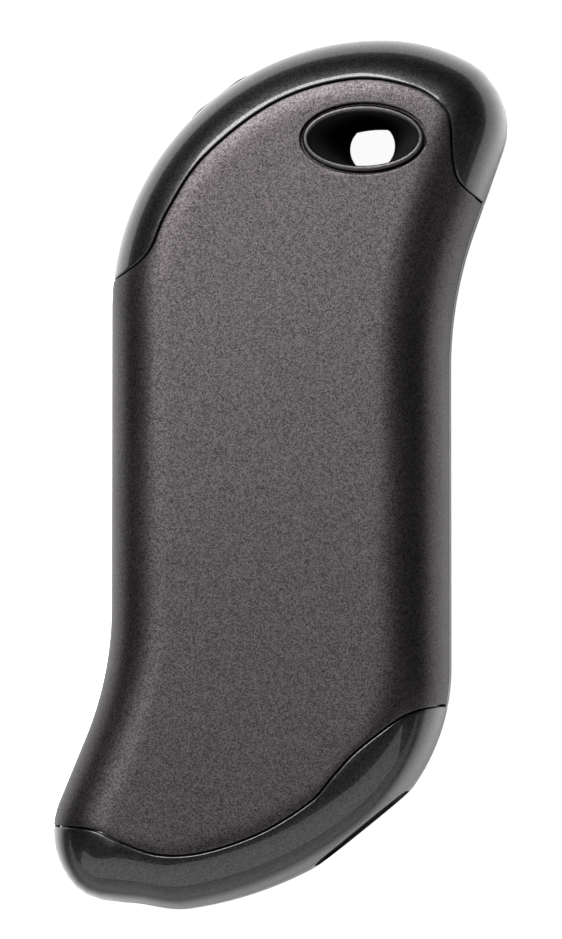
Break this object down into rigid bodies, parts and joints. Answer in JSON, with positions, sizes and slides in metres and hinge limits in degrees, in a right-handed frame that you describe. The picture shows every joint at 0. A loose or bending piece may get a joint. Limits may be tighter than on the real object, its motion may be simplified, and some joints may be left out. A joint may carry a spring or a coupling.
{
  "type": "hand warmer",
  "caption": "Rechargeable hand warmer with a bean shaped body, metal heat covers on both faces, a lanyard eye, a power button and charging ports.",
  "frame": {"origin": "centre of the straight grip, on the plane that the back cover rests on", "axes": "+Z out of the front face, +Y along the grip towards the hood with the lanyard eye, +X across the grip towards the side that the hood leans to"},
  "size_m": [0.0661, 0.1266, 0.0272],
  "materials": {
    "gloss_shell": "polished black moulding",
    "heat_cover": "matt dark grey metallic coat",
    "eyelet": "polished black moulding",
    "port_panel": "fine matt black",
    "port_metal": "nickel plated sheet",
    "port_plastic": "black contact carrier",
    "button": "polished black moulding",
    "circuit_board": "green solder mask",
    "led": "clear lens",
    "light_guide": "clear moulding",
    "cell_wrap": "blue shrink wrap",
    "cradle": "natural moulding",
    "foam": "closed cell foam",
    "nickel": "nickel strip",
    "heater_film": "amber film",
    "wire_white": "silicone sleeve",
    "ferrite": "pressed ferrite",
    "chip": "moulded package",
    "ceramic_part": "fired ceramic",
    "wire_red": "silicone sleeve",
    "wire_black": "silicone sleeve",
    "wire_grey": "silicone sleeve",
    "screw_steel": "plated steel"
  },
  "bodies": {
    "housing": {"front_housing": "gloss_shell", "back_housing": "gloss_shell", "front_cover": "heat_cover", "back_cover": "heat_cover", "front_eyelet": "eyelet", "back_eyelet": "eyelet", "port_panel": "port_panel", "outlet_shell": "port_metal", "outlet_tongue": "port_plastic", "inlet_shell": "port_metal", "inlet_tongue": "port_plastic", "tact_switch": "port_metal", "button_board": "circuit_board", "status_leds": "led", "light_guide": "light_guide", "cell_left": "cell_wrap", "cell_right": "cell_wrap", "cell_cradle": "cradle", "cell_pad": "foam", "hood_tab": "nickel", "foot_tab": "nickel", "front_heater": "heater_film", "back_heater": "heater_film", "front_heater_lead": "wire_white", "back_heater_lead": "wire_white", "main_board": "circuit_board", "boost_coil": "ferrite", "charge_chip": "chip", "boost_chip": "chip", "capacitors": "ceramic_part", "positive_lead": "wire_red", "negative_lead": "wire_black", "button_cable": "wire_grey", "screw_hood_left": "screw_steel", "screw_hood_right": "screw_steel", "screw_toe": "screw_steel", "screw_foot": "screw_steel"},
    "button": {"power_button": "button", "switch_stem": "port_plastic"}
  },
  "joints": [
    {"name": "button_press", "type": "slide", "parent": "housing", "child": "button", "axis": [0.6018, -0.7986, 0], "range_m": [0, 0.0005], "stiffness_N_per_m": 3000, "springref_m": -0.0003}
  ]
}
